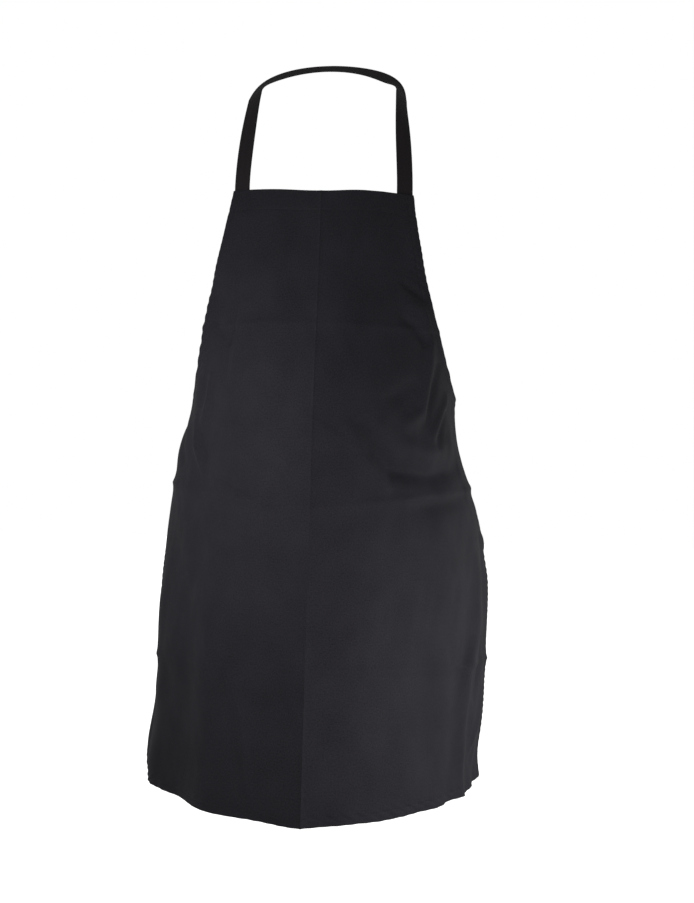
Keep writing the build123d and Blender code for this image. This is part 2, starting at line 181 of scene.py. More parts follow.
# Soft folds as drawn on the flat cut, in millimetres: points (across, down) with left
# negative, then the fold's half width and its height. A negative height is a valley.
SOFT_FOLDS = [
    # broad diagonal on the bib, from the right strap down to the centre
    ([(140, 10), (112, 165), (74, 270), (26, 350)], 58, -9.0),
    ([(-120, 30), (-86, 190), (-70, 330)], 54, 4.0),
    # V of light under the waist, on both sides of the centre crease
    ([(-92, 530), (-76, 452), (-62, 406), (-10, 366), (60, 354), (110, 340)], 20, 4.2),
    ([(-118, 350), (-76, 390), (-36, 398)], 10, -3.6),
    # steep folds that hang from the right waist corner
    ([(184, 206), (183, 262), (176, 318), (136, 342)], 11, 7.4),
    ([(206, 240), (200, 290), (184, 338)], 8, -5.0),
    ([(246, 286), (224, 322), (198, 358)], 8, 5.0),
    ([(238, 308), (224, 342), (208, 370)], 7, -4.0),
    ([(92, 314), (130, 296), (164, 276)], 12, -3.4),
    # the comma shaped hollow right of the centre, a lit rim on each side, and a valley below
    ([(68, 330), (90, 374), (122, 402), (196, 409), (282, 395)], 14, -10.0),
    ([(46, 336), (72, 384), (116, 434)], 10, 5.0),
    ([(98, 330), (130, 366), (188, 374), (268, 362)], 13, 4.4),
    ([(146, 454), (210, 446), (290, 432)], 15, -4.4),
    # right armhole
    ([(134, 162), (160, 172), (188, 206)], 9, 3.8),
    ([(126, 184), (150, 196), (176, 224)], 8, -4.8),
    ([(124, 132), (146, 144), (168, 158)], 6, -3.6),
    # left armhole and waist
    ([(-116, 108), (-118, 160), (-126, 204), (-140, 232), (-150, 290)], 7, -3.8),
    ([(-102, 160), (-114, 214), (-136, 270)], 8, 2.4),
    ([(-166, 190), (-148, 208), (-134, 230)], 9, -3.4),
    ([(-182, 266), (-194, 304), (-208, 344)], 8, 5.0),
    ([(-234, 324), (-216, 372), (-188, 416)], 7, 4.6),
    ([(-214, 346), (-182, 394)], 8, -2.8),
    ([(-318, 320), (-284, 356), (-254, 400)], 10, -3.0),
    ([(-78, 440), (-120, 426), (-170, 410)], 5, -3.0),
    # lower left creases
    ([(-136, 640), (-98, 726), (-76, 840)], 6, 1.9),
    ([(-146, 650), (-108, 730), (-88, 840)], 7, -1.9),
    ([(-46, 676), (-14, 738)], 5, -2.0),
    # lower right side, where the skirt turns away
    ([(322, 520), (326, 636), (288, 690), (276, 760), (286, 864)], 13, 5.5),
    ([(296, 560), (290, 640), (250, 720), (248, 864)], 15, -3.4),
    ([(388, 700), (346, 764), (318, 812)], 9, 4.4),
    ([(360, 640), (330, 700), (312, 740)], 8, -3.6),
    ([(324, 440), (352, 480), (404, 520)], 9, 4.4),
    # lower left side
    ([(-338, 690), (-366, 752), (-374, 864)], 15, 4.2),
    ([(-330, 664), (-352, 690)], 9, -2.0),
    ([(-292, 500), (-304, 640), (-290, 760), (-300, 864)], 20, 4.2),
    ([(-232, 520), (-216, 640), (-226, 864)], 28, -5.4),
    # broad waves of the skirt
    ([(64, 480), (84, 640), (96, 864)], 34, 2.8),
    ([(150, 500), (176, 660), (180, 864)], 34, -2.6),
    ([(-40, 490), (-56, 640), (-64, 864)], 30, -5.0),
    ([(-140, 480), (-156, 640), (-150, 864)], 28, 3.6),
    # near the side edges, where the cloth hangs free
    ([(372, 330), (366, 520), (380, 700), (366, 864)], 20, -6.0),
    ([(-380, 340), (-360, 480), (-384, 660), (-356, 864)], 18, -5.0),
]
HEM_FADE_POWER = 12

# Ironed fold lines across the cloth: down at the centre (mm), rise per unit across, height and
# half width (mm). They are fainter beside the centre crease.
PRESS_CREASES = [(200, 0.0, 2.4, 7), (455, 0.09, 4.2, 8), (664, -0.06, 3.4, 9)]
CREASE_ROUNDING = 0.9 * MM
PRESS_FADE = 0.5
PRESS_FADE_WIDTH = 180 * MM

# The centre crease stands out as a narrow pressed line. On the bib the two halves meet smoothly
# beside it, and further down they meet in a sharp ridge.
CENTRE_RIDGE = 1.2 * MM
CENTRE_RIDGE_WIDTH = 2.2 * MM
RIDGE_SOFTENING = 26 * MM
SOFTENED_DOWN = 290 * MM
SHARP_DOWN = 500 * MM

# Where the outline stands out or in: side, down, half height, amount (mm)
OUTLINE = [
    (-1, 372, 62, 14.0),
    (-1, 480, 50, 5.0),
    (-1, 592, 60, 0.5),
    (-1, 706, 26, -4.0),
    (-1, 836, 44, 8.0),
    (1, 268, 30, 4.0),
    (1, 400, 60, 3.0),
    (1, 490, 80, 7.0),
    (1, 600, 50, 3.0),
    (1, 838, 56, -8.0),
]
OUTLINE_START = 190 * MM
OUTLINE_END = 330 * MM

# Small random waves: wavelength and height (mm), number of waves that are added up. The
# wavelengths vary between two factors, the waves are longer down than across, and the gain makes
# up for waves that cancel each other.
WAVES = [(150, 1.3, 9), (60, 0.55, 11), (24, 0.12, 14)]
WAVE_SEED = 7
WAVE_SPREAD = (0.75, 1.35)
WAVE_STRETCH = 0.6
WAVE_GAIN = 1.4

# Puckers, which drift and swell along the edge, and a shallow groove along the seams
PUCKER_WAVE = 9.6 * MM
PUCKER_HEIGHT = 0.62 * MM
PUCKER_REACH = 17 * MM
PUCKER_SLANT = 0.5
PUCKER_DRIFT = 23 * MM
PUCKER_SWELL = 31 * MM
SEAM_GROOVE = 0.5 * MM
SEAM_GROOVE_WIDTH = 1.5 * MM

# How far the bib's top edge hangs down, at its middle and its right corner, and the skirt's hem,
# which is lifted a little on the right and more at its left corner.
BIB_SAG = 6.4 * MM
BIB_SAG_WIDTH = 70 * MM
BIB_CORNER_DROP = 6 * MM
BIB_CORNER_START = 0.3
BIB_SAG_LENGTH = 160 * MM
SKIRT_SAG = 2.5 * MM
SKIRT_SAG_START = 560 * MM
HEM_LIFT = 2.4 * MM
HEM_LIFT_WIDTH = 90 * MM
CORNER_LIFT = 13 * MM
CORNER_LIFT_START = 0.84

# Studio. Softboxes: name, place, target, size, spread of the beam in degrees, watts
SOFTBOXES = [
    ("right_softbox", (0.66, -0.55, -0.92), (0.10, -0.20, -0.94), 0.45, 110, 1.5),
    ("left_softbox", (-0.50, -0.75, -0.54), (-0.08, -0.15, -0.54), 0.4, 84, 1.0),
    ("low_left_softbox", (-0.45, -0.85, -1.10), (-0.12, -0.25, -1.00), 0.4, 70, 0.2),
    ("side_right_softbox", (1.20, 0.30, -0.85), (0.20, 0.0, -0.80), 0.5, 90, 0.8),
    ("side_left_softbox", (-1.20, 0.30, -0.80), (-0.20, 0.0, -0.75), 0.5, 90, 0.1),
    ("back_softbox", (0.0, 1.40, -0.85), (0.0, 0.0, -0.85), 0.7, 46, 3.0),
]
ROOM_LIGHT = 0.34
TOP_LIGHT = 3.6
TOP_LIGHT_SPREAD = math.radians(40)
WHITE = (1.0, 1.0, 1.0, 1.0)
FLOOR_COLOUR = (0.95, 0.95, 0.95, 1.0)
FLOOR_ROUGHNESS = 0.9
FLOOR_Z = -1.45
FLOOR_HALF_SIZE = 12.0
CAMERA_AZIMUTH = math.radians(3.88)
CAMERA_DISTANCE = 1.693
CAMERA_HEIGHT = -0.639
CAMERA_PITCH = math.radians(1.275)
CAMERA_ROLL = math.radians(1.23)
CAMERA_LENS = 43.28
CAMERA_SENSOR = 36.0
CAMERA_SHIFT = 0.0257

SIDES = {"left": -1, "right": 1}
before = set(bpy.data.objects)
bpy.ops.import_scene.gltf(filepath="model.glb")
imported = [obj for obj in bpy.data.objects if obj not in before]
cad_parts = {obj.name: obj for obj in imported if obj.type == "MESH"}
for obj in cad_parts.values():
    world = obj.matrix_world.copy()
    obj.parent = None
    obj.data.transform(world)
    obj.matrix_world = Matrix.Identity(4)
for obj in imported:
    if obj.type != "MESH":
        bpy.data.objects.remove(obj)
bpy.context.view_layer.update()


# ---------------- curves and directions

def smooth(share):
    """Ease from 0 to 1 with level ends."""
    share = np.clip(share, 0.0, 1.0)
    return share * share * (3.0 - 2.0 * share)


def unit(vectors):
    return vectors / np.linalg.norm(vectors, axis=-1, keepdims=True)


def distance_along(points):
    """Distance of each point from the first one, along the line through them."""
    gaps = np.linalg.norm(np.diff(points, axis=0), axis=1)
    return np.concatenate([[0.0], np.cumsum(gaps)])


def square_to(heading, vectors):
    """Directions made square to the heading."""
    return unit(vectors - heading * np.sum(vectors * heading, axis=1)[:, None])


def bezier(points, share):
    a, b, c, d = points
    t = share[:, None]
    return a * (1 - t) ** 3 + b * 3 * t * (1 - t) ** 2 + c * 3 * t ** 2 * (1 - t) + d * t ** 3


# ---------------- relief of the cloth

def make_waves():
    """Plane waves (direction and frequency, phase, height) that add up to a gentle unevenness."""
    random = np.random.default_rng(WAVE_SEED)
    waves = []
    for wavelength, height, count in WAVES:
        for _ in range(count):
            turn = random.uniform(0, 2 * math.pi)
            frequency = 2 * math.pi / (wavelength * MM * random.uniform(*WAVE_SPREAD))
            heading = (math.cos(turn) * frequency, math.sin(turn) * frequency * WAVE_STRETCH)
            phase = random.uniform(0, 2 * math.pi)
            waves.append((heading, phase, height * MM * WAVE_GAIN / math.sqrt(count)))
    return waves


RANDOM_WAVES = make_waves()


def fold_relief(signed, down, points, width, height):
    """A soft fold along a line, which fades out at both ends unless it runs into the hem."""
    nearest = np.full(signed.shape, np.inf)
    place = np.zeros(signed.shape)
    corners = [(x * MM, y * MM) for x, y in points]
    lengths = [math.dist(a, b) for a, b in zip(corners, corners[1:])]
    before = 0.0
    for start, end, length in zip(corners, corners[1:], lengths):
        along = ((end[0] - start[0]) / length, (end[1] - start[1]) / length)
        share = (signed - start[0]) * along[0] + (down - start[1]) * along[1]
        share = np.clip(share, 0.0, length)
        distance = np.hypot(signed - start[0] - share * along[0],
                            down - start[1] - share * along[1])
        closer = distance < nearest
        nearest = np.where(closer, distance, nearest)
        place = np.where(closer, (before + share) / sum(lengths), place)
        before += length
    fade = np.sqrt(np.sin(np.pi * np.clip(place, 0.0, 1.0)))
    if points[-1][1] * MM >= CLOTH_LENGTH:
        to_hem = np.clip(down / CLOTH_LENGTH, 0.0, 1.0) ** HEM_FADE_POWER
        fade = np.maximum(fade, to_hem * (place > 0.5))
    return height * MM * fade * np.exp(-(nearest / (width * MM)) ** 2)


def armhole_distance(across, down):
    """Distance from a place on the cut to the armhole's edge."""
    edge = armhole_edge(ROUGH_SAMPLES)
    slope = np.gradient(edge[:, 1], edge[:, 0])
    edge_down = np.interp(across, edge[:, 0], edge[:, 1])
    edge_down = edge_down + np.minimum(across - BIB_HALF_WIDTH, 0.0) / ARMHOLE_SLOPE
    steepness = np.interp(across, edge[:, 0], slope)
    return (down - edge_down) / np.hypot(1.0, steepness)


def seam_relief(across, down, signed):
    """Puckers beside the hems, and the groove that the stitches pull."""
    to_bottom = CLOTH_LENGTH - down
    to_armhole = armhole_distance(across, down)
    to_side = np.where(down > ARMHOLE_DEPTH, SKIRT_HALF_WIDTH - across, np.inf)
    to_edge = np.maximum(np.minimum(np.minimum(to_bottom, to_side), to_armhole), 0.0)
    place = down - PUCKER_SLANT * across
    phase = place / PUCKER_WAVE * 2 * math.pi + 1.5 * np.sin(place / PUCKER_DRIFT + signed * 4)
    strength = 0.6 + 0.4 * np.sin(place / PUCKER_SWELL + signed * 7)
    puckers = PUCKER_HEIGHT * strength * np.sin(phase) * np.exp(-(to_edge / PUCKER_REACH) ** 2)
    seam = HEM - SEAM_INSET
    top_seam = TOP_HEM - SEAM_INSET
    groove = np.exp(-((to_edge - seam) / SEAM_GROOVE_WIDTH) ** 2)
    groove = groove + np.exp(-((down - top_seam) / SEAM_GROOVE_WIDTH) ** 2)
    return puckers - SEAM_GROOVE * groove


def relief(side, across, down):
    """Height of the folds above the plain bent cloth."""
    signed = side * across
    height = seam_relief(across, down, signed)
    for points, width, amount in SOFT_FOLDS:
        height += fold_relief(signed, down, points, width, amount)
    for line, rise, amount, width in PRESS_CREASES:
        distance = down - line * MM + rise * across
        distance = np.sqrt(distance ** 2 + CREASE_ROUNDING ** 2)
        strength = PRESS_FADE + (1 - PRESS_FADE) * smooth(across / PRESS_FADE_WIDTH)
        height += amount * MM * strength * np.exp(-distance / (width * MM))
    height += CENTRE_RIDGE * np.exp(-across / CENTRE_RIDGE_WIDTH)
    soft = 1.0 - smooth((down - SOFTENED_DOWN) / (SHARP_DOWN - SOFTENED_DOWN))
    height -= (soft * np.sin(ridge_angle(down)) * RIDGE_SOFTENING
               * np.exp(-across / RIDGE_SOFTENING))
    window = smooth((across - OUTLINE_START) / (OUTLINE_END - OUTLINE_START))
    for edge_side, centre, half_height, amount in OUTLINE:
        if edge_side == side:
            height += amount * MM * window * np.exp(-((down / MM - centre) / half_height) ** 2)
    for heading, phase, amount in RANDOM_WAVES:
        height += amount * np.sin(signed * heading[0] + down * heading[1] + phase)
    return height


# ---------------- the bent cloth

def half_width(down):
    share = np.clip(np.asarray(down, float) / ARMHOLE_DEPTH, 0.0, 1.0)
    reach = SKIRT_HALF_WIDTH - BIB_HALF_WIDTH - ARMHOLE_SLOPE * ARMHOLE_DEPTH
    turn = 1.0 - (1.0 - share ** ARMHOLE_POWER) ** (1.0 / ARMHOLE_POWER)
    return BIB_HALF_WIDTH + ARMHOLE_SLOPE * ARMHOLE_DEPTH * share + reach * turn


def body_radius(down):
    above = BIB_RADIUS + (WAIST_RADIUS - BIB_RADIUS) * smooth(down / WAIST_DOWN)
    below = (HEM_RADIUS - WAIST_RADIUS) * smooth((down - WAIST_DOWN) / FLARE_LENGTH)
    return above + below


def ridge_angle(down):
    return np.radians(BIB_RIDGE + (HEM_RIDGE - BIB_RIDGE) * smooth(down / RIDGE_LENGTH))


def fold_angle(down):
    return np.arcsin(FOLD_X / body_radius(down) + np.sin(ridge_angle(down)))


def crease_y(down):
    back = body_radius(down) * (np.cos(ridge_angle(down)) - np.cos(fold_angle(down)))
    return FOLD_TOP_Y - LEAN * down - back


def sag(side, across, down):
    """How far the cloth hangs below its plain shape, at the bib's upper edge and at the hem."""
    middle = BIB_SAG * np.exp(-(across / BIB_SAG_WIDTH) ** 2)
    right_end = (side * across / BIB_HALF_WIDTH - BIB_CORNER_START) / (1 - BIB_CORNER_START)
    corner = BIB_CORNER_DROP * smooth(right_end)
    above = (middle + corner) * (1.0 - smooth(down / BIB_SAG_LENGTH))
    hem = SKIRT_SAG - HEM_LIFT * smooth(side * across / HEM_LIFT_WIDTH)
    left_end = (-side * across / SKIRT_HALF_WIDTH - CORNER_LIFT_START) / (1 - CORNER_LIFT_START)
    hem = hem - CORNER_LIFT * smooth(left_end)
    return above + hem * smooth((down - SKIRT_SAG_START) / (CLOTH_LENGTH - SKIRT_SAG_START))


def cloth_points(side, across, down, depth=0.0):
    """Places on the bent cloth, depth under its outer face. Takes and gives arrays."""
    across, down, depth = np.broadcast_arrays(*(np.asarray(x, float) for x in (across, down, depth)))
    radius = body_radius(down)
    ridge = ridge_angle(down)
    angle = ridge + across / radius
    out = relief(side, across, down) - depth
    facing = angle - ridge * np.exp(-across / CREASE_BLEND)
    x = radius * (np.sin(angle) - np.sin(ridge)) + out * np.sin(facing)
    y = crease_y(down) + radius * (np.cos(ridge) - np.cos(angle)) - out * np.cos(facing)
    z = BIB_TOP_Z - DROP * down - sag(side, across, down)
    return np.stack([side * x, y, z], axis=-1)


def armhole_edge(count, start=0.0):
    """Evenly spaced rows (across, down, inward across, inward down) along the armhole."""
    first = math.asin((start / ARMHOLE_DEPTH) ** (ARMHOLE_POWER / 2))
    turn = np.linspace(first, math.pi / 2, CURVE_SAMPLES)
    down = ARMHOLE_DEPTH * np.sin(turn) ** (2 / ARMHOLE_POWER)
    across = half_width(down)
    length = distance_along(np.stack([across, down], axis=-1))
    even = np.linspace(0.0, length[-1], count)
    across = np.interp(even, length, across)
    down = np.interp(even, length, down)
    slope_across = np.gradient(across)
    slope_down = np.gradient(down)
    size = np.hypot(slope_across, slope_down)
    return np.stack([across, down, -slope_down / size, slope_across / size], axis=-1)


ARMHOLE_EDGE_LENGTH = float(distance_along(armhole_edge(CURVE_SAMPLES)[:, :2])[-1])


# ---------------- mesh helpers

def new_object(name, data):
    """Object with that mesh, light or camera, placed in the scene."""
    made = bpy.data.objects.new(name, data)
    bpy.context.scene.collection.objects.link(made)
    return made


def mesh_piece(name, points, faces, flat, material):
    """Object from arrays: points (n, 3), faces as index lists, flat (n, 2) for the weave or None."""
    mesh = bpy.data.meshes.new(name)
    mesh.from_pydata(points.tolist(), [], faces)
    if flat is not None:
        layer = mesh.uv_layers.new(name="flat")
        index = np.zeros(len(mesh.loops), np.int32)
        mesh.loops.foreach_get("vertex_index", index)
        layer.data.foreach_set("uv", flat[index].astype(np.float32).ravel())
    mesh.polygons.foreach_set("use_smooth", [True] * len(mesh.polygons))
    mesh.update()
    mesh.set_sharp_from_angle(angle=SHARP_ANGLE)
    piece = new_object(name, mesh)
    mesh.materials.append(material)
    return piece


def grid_faces(rows, columns, flip, closed=False):
    """Quads of a grid of rows x columns points, row by row; closed joins each row into a ring."""
    faces = []
    for row in range(rows - 1):
        for column in range(columns if closed else columns - 1):
            after = (column + 1) % columns
            a, b = row * columns + column, row * columns + after
            c, d = b + columns, a + columns
            faces.append((a, d, c, b) if flip else (a, b, c, d))
    return faces


def swept_piece(name, rings, flat, flip, material):
    """Closed tube from rings of points (stations, around, 3), with a flat cap at each end."""
    stations, around = rings.shape[:2]
    faces = grid_faces(stations, around, flip, closed=True)
    start_cap = list(range(around))
    end_cap = [(stations - 1) * around + index for index in range(around)]
    faces.append(start_cap if flip else start_cap[::-1])
    faces.append(end_cap[::-1] if flip else end_cap)
    return mesh_piece(name, rings.reshape(-1, 3), faces, flat.reshape(-1, 2), material)


# ---------------- materials

def new_material(name):
    material = bpy.data.materials.new(name)
    material.use_nodes = True
    return material


def tree_of(material):
    return material.node_tree.nodes, material.node_tree.links


def add_node(nodes, kind, **settings):
    """New node with some of its inputs or properties set."""
    node = nodes.new(kind)
    for name, value in settings.items():
        label = name.replace("_", " ").title()
        if label in node.inputs:
            node.inputs[label].default_value = value
        else:
            setattr(node, name, value)
    return node


def add_math(material, operation, first, second, third=None):
    """Math node on sockets or plain numbers; gives its output socket."""
    node = material.node_tree.nodes.new("ShaderNodeMath")
    node.operation = operation
    for socket, value in zip(node.inputs, (first, second, third)):
        if isinstance(value, bpy.types.NodeSocket):
            material.node_tree.links.new(value, socket)
        elif value is not None:
            socket.default_value = value
    return node.outputs["Value"]


def wave_bands(material, vector, direction, pitch):
    """Smooth ridges, pitch apart."""
    nodes, links = tree_of(material)
    wave = add_node(nodes, "ShaderNodeTexWave", bands_direction=direction, scale=math.pi / 10 / pitch,
                    distortion=0.7, detail=1.0, detail_scale=2.0)
    links.new(vector, wave.inputs["Vector"])
    return wave.outputs["Fac"]


def noise(material, vector, size, detail):
    """Cloudy noise with blotches of about that size."""
    nodes, links = tree_of(material)
    texture = add_node(nodes, "ShaderNodeTexNoise", scale=1.0 / size, detail=detail)
    links.new(vector, texture.inputs["Vector"])
    return texture.outputs["Fac"]


def finish_woven(material, height, tone, span, dark, light, bump):
    """Bump from the height, and a colour from dark to light over the tone's span."""
    nodes, links = tree_of(material)
    shader = nodes["Principled BSDF"]
    raised = add_node(nodes, "ShaderNodeBump", strength=BUMP_STRENGTH, distance=bump)
    links.new(height, raised.inputs["Height"])
    links.new(raised.outputs["Normal"], shader.inputs["Normal"])
    share = add_node(nodes, "ShaderNodeMapRange", from_min=span[0], from_max=span[1])
    links.new(tone, share.inputs["Value"])
    colours = nodes.new("ShaderNodeValToRGB")
    low, high = colours.color_ramp.elements
    low.color, high.color = (*dark, 1.0), (*light, 1.0)
    links.new(share.outputs["Result"], colours.inputs["Fac"])
    links.new(colours.outputs["Color"], shader.inputs["Base Color"])


def set_surface(material, roughness, specular, sheen, tint):
    shader = material.node_tree.nodes["Principled BSDF"]
    shader.inputs["Roughness"].default_value = roughness
    shader.inputs["Specular IOR Level"].default_value = specular
    shader.inputs["Sheen Weight"].default_value = sheen
    shader.inputs["Sheen Roughness"].default_value = SHEEN_ROUGHNESS
    shader.inputs["Sheen Tint"].default_value = (*tint, 1.0)


def make_cloth_material():
    """Black cotton twill: slanted ridges broken by the weft, lint, slight fading, and a painted
    highlight that colours the ridges lighter.
    """
    material = new_material("black_twill")
    nodes, links = tree_of(material)
    set_surface(material, roughness=0.62, specular=0.07, sheen=0.02, tint=(0.86, 0.84, 1.0))
    flat = add_node(nodes, "ShaderNodeUVMap", uv_map="flat")
    turned = add_node(nodes, "ShaderNodeMapping", rotation=(0.0, 0.0, TWILL_SLANT))
    links.new(flat.outputs["UV"], turned.inputs["Vector"])
    ridges = wave_bands(material, turned.outputs["Vector"], "X", TWILL_PITCH)
    weft = wave_bands(material, flat.outputs["UV"], "Y", WEFT_PITCH)
    lint = noise(material, flat.outputs["UV"], size=2.0 * MM, detail=4.0)
    fading = noise(material, flat.outputs["UV"], size=60 * MM, detail=4.0)
    weave = add_math(material, "MULTIPLY_ADD", weft, WEFT_HEIGHT, ridges)
    height = add_math(material, "MULTIPLY_ADD", lint, LINT_HEIGHT, weave)
    faded = add_math(material, "MULTIPLY", fading, FADING_TONE)
    # painted highlight: the twill ridges' colour is made lighter, added to the random fading and lint
    tone = add_math(material, "MULTIPLY_ADD", weave, WEAVE_HIGHLIGHT_TONE, faded)
    tone = add_math(material, "MULTIPLY_ADD", lint, LINT_TONE, tone)
    finish_woven(material, height, tone, span=(0.5, 1.16), dark=CLOTH_DARK, light=CLOTH_LIGHT,
                 bump=0.16 * MM)
    return material


def make_tape_material():
    """Black herringbone tape: ribs that slant one way and then the other across its width."""
    material = new_material("black_tape")
    nodes, links = tree_of(material)
    set_surface(material, roughness=0.6, specular=0.06, sheen=0.01, tint=(1.0, 0.92, 0.95))
    flat = add_node(nodes, "ShaderNodeUVMap", uv_map="flat")
    parts = nodes.new("ShaderNodeSeparateXYZ")
    links.new(flat.outputs["UV"], parts.inputs["Vector"])
    folded = add_math(material, "PINGPONG", parts.outputs["X"], TAPE_CHEVRON)
    slanted = add_math(material, "ADD", folded, parts.outputs["Y"])
    vector = nodes.new("ShaderNodeCombineXYZ")
    links.new(slanted, vector.inputs["X"])
    ribs = wave_bands(material, vector.outputs["Vector"], "X", TAPE_RIB_PITCH)
    lint = noise(material, flat.outputs["UV"], size=1.2 * MM, detail=3.0)
    height = add_math(material, "ADD", ribs, lint)
    lint_tone = add_math(material, "MULTIPLY", lint, TAPE_LINT_TONE)
    tone = add_math(material, "MULTIPLY_ADD", ribs, TAPE_RIB_TONE, lint_tone)
    finish_woven(material, height, tone, span=(0.2, 0.9), dark=TAPE_DARK, light=TAPE_LIGHT,
                 bump=0.2 * MM)
    return material


def make_thread_material():
    """Twisted sewing thread with a low lustre."""
    material = new_material("black_thread")
    set_surface(material, roughness=0.5, specular=0.15, sheen=0.02, tint=(1.0, 1.0, 1.0))
    place = material.node_tree.nodes.new("ShaderNodeTexCoord")
    ply = noise(material, place.outputs["Object"], size=0.5 * MM, detail=2.0)
    finish_woven(material, ply, ply, span=(0.3, 0.7), dark=THREAD_DARK, light=THREAD_LIGHT,
                 bump=0.05 * MM)
    return material


CLOTH = make_cloth_material()
TAPE = make_tape_material()
THREAD = make_thread_material()


# ---------------- cloth panels

def spaced(length, fine_spots):
    """Places from 0 to length, which lie closer together near the fine spots."""
    places = np.linspace(0.0, length, SPACING_SAMPLES)
    density = np.full(places.shape, 1.0 / COARSE)
    for spot in fine_spots:
        density += (1.0 / FINE - 1.0 / COARSE) * np.exp(-((places - spot) / FINE_REACH) ** 2)
    count = np.concatenate([[0.0], np.cumsum((density[1:] + density[:-1]) / 2 * np.diff(places))])
    steps = int(round(count[-1]))
    return np.interp(np.linspace(0.0, count[-1], steps + 1), count, places)


def panel_grid():
    """Flat places (across, down) of one half, in rows that fan out along the armhole."""
    share = spaced(SKIRT_HALF_WIDTH, [0.0, SKIRT_HALF_WIDTH - HEM + SEAM_INSET]) / SKIRT_HALF_WIDTH
    edge = armhole_edge(CURVE_SAMPLES)
    edge_length = np.linspace(0.0, 1.0, len(edge)) * ARMHOLE_EDGE_LENGTH
    seam_down = TOP_HEM - SEAM_INSET
    rows = spaced(ARMHOLE_EDGE_LENGTH, [seam_down * math.hypot(1.0, ARMHOLE_SLOPE)])
    edge_across = np.interp(rows, edge_length, edge[:, 0])[:, None]
    edge_down = np.interp(rows, edge_length, edge[:, 1])[:, None]
    progress = rows[:, None] / ARMHOLE_EDGE_LENGTH
    fanned = smooth((progress - FAN_START) / FAN_LENGTH)
    middle_down = edge_down * (1 - fanned) + ARMHOLE_DEPTH * progress * fanned
    across = edge_across * share
    down = middle_down + (edge_down - middle_down) * share ** 2

    creases = [line * MM - ARMHOLE_DEPTH for line, _, _, _ in PRESS_CREASES[1:]]
    skirt_length = CLOTH_LENGTH - ARMHOLE_DEPTH
    lower = ARMHOLE_DEPTH + spaced(skirt_length, [*creases, skirt_length - HEM + SEAM_INSET])[1:]
    across = np.concatenate([across, np.tile(SKIRT_HALF_WIDTH * share, (len(lower), 1))])
    down = np.concatenate([down, np.tile(lower[:, None], (1, len(share)))])
    return across, down


def rim_faces(rows, columns, layer, flip):
    """Quads that join the edges of two grids, the second of which starts at index layer."""
    top = [(0, column) for column in range(columns)]
    outer = [(row, columns - 1) for row in range(1, rows)]
    bottom = [(rows - 1, column) for column in range(columns - 2, -1, -1)]
    centre = [(row, 0) for row in range(rows - 2, 0, -1)]
    loop = [row * columns + column for row, column in top + outer + bottom + centre]
    faces = []
    for a, b in zip(loop, loop[1:] + loop[:1]):
        faces.append((b, a, a + layer, b + layer) if flip else (a, b, b + layer, a + layer))
    return faces


def make_panel(name, side):
    """One half of the cloth, as a closed shell with an outer and an inner face."""
    across, down = panel_grid()
    rows, columns = across.shape
    outer = cloth_points(side, across, down).reshape(-1, 3)
    inner = cloth_points(side, across, down, CLOTH_THICKNESS).reshape(-1, 3)
    layer = rows * columns
    faces = grid_faces(rows, columns, flip=side > 0)
    faces += [tuple(index + layer for index in face) for face in grid_faces(rows, columns, side < 0)]
    faces += rim_faces(rows, columns, layer, flip=side < 0)
    flat = np.stack([FLAT_CENTRE + side * across, down], axis=-1).reshape(-1, 2)
    return mesh_piece(f"cloth_{name}", np.concatenate([outer, inner]), faces,
                      np.concatenate([flat, flat]), CLOTH)


# ---------------- hems

def hem_profile(width):
    """Outline (inset, depth) of a folded hem: a round edge, then a flap on the inner face."""
    nose = [(1.0, 0.45), (0.1, 0.02), (-0.35, 0.14), (-0.68, 0.5), (-0.8, 1.0), (-0.6, 1.55),
            (-0.2, 1.85)]
    flap = [(inset, HEM_FAR / MM) for inset in np.linspace(0.2, width / MM, 8)]
    end = [(width / MM + 0.35, 1.8), (width / MM + 0.4, 1.5), (width / MM + 0.1, 1.15)]
    back = [(inset, HEM_NEAR / MM) for inset in np.linspace(width / MM - 1.5, 1.5, 7)]
    return np.array(nose + flap + end + back) * MM


def make_hem(name, side, edge, width):
    """Sweep the hem's outline along an edge given as (across, down, inward across, inward down)."""
    profile = hem_profile(width)
    across = edge[:, None, 0] + profile[None, :, 0] * edge[:, None, 2]
    down = edge[:, None, 1] + profile[None, :, 0] * edge[:, None, 3]
    rings = cloth_points(side, across, down, np.broadcast_to(profile[None, :, 1], across.shape))
    flat = np.stack([FLAT_CENTRE + side * across, down], axis=-1)
    return swept_piece(name, rings, flat, side < 0, CLOTH)


def straight_edge(start, end, inward, count):
    """Rows like armhole_edge() gives, along a straight edge."""
    share = np.linspace(0.0, 1.0, count)[:, None]
    places = np.array(start) * (1 - share) + np.array(end) * share
    return np.concatenate([places, np.tile(inward, (count, 1))], axis=1)


def top_edge():
    edge = straight_edge((0.0, 0.0), (BIB_HALF_WIDTH, 0.0), (0.0, 1.0), TOP_ROWS)
    edge[:, 2] = ARMHOLE_SLOPE * edge[:, 0] / BIB_HALF_WIDTH
    return edge


def bottom_edge():
    return straight_edge((0.0, CLOTH_LENGTH), (SKIRT_HALF_WIDTH, CLOTH_LENGTH), (0.0, -1.0),
                         BOTTOM_ROWS)


def side_edge():
    return straight_edge((SKIRT_HALF_WIDTH, ARMHOLE_DEPTH + HEM),
                         (SKIRT_HALF_WIDTH, CLOTH_LENGTH - HEM), (-1.0, 0.0), SIDE_ROWS)


# ---------------- stitches

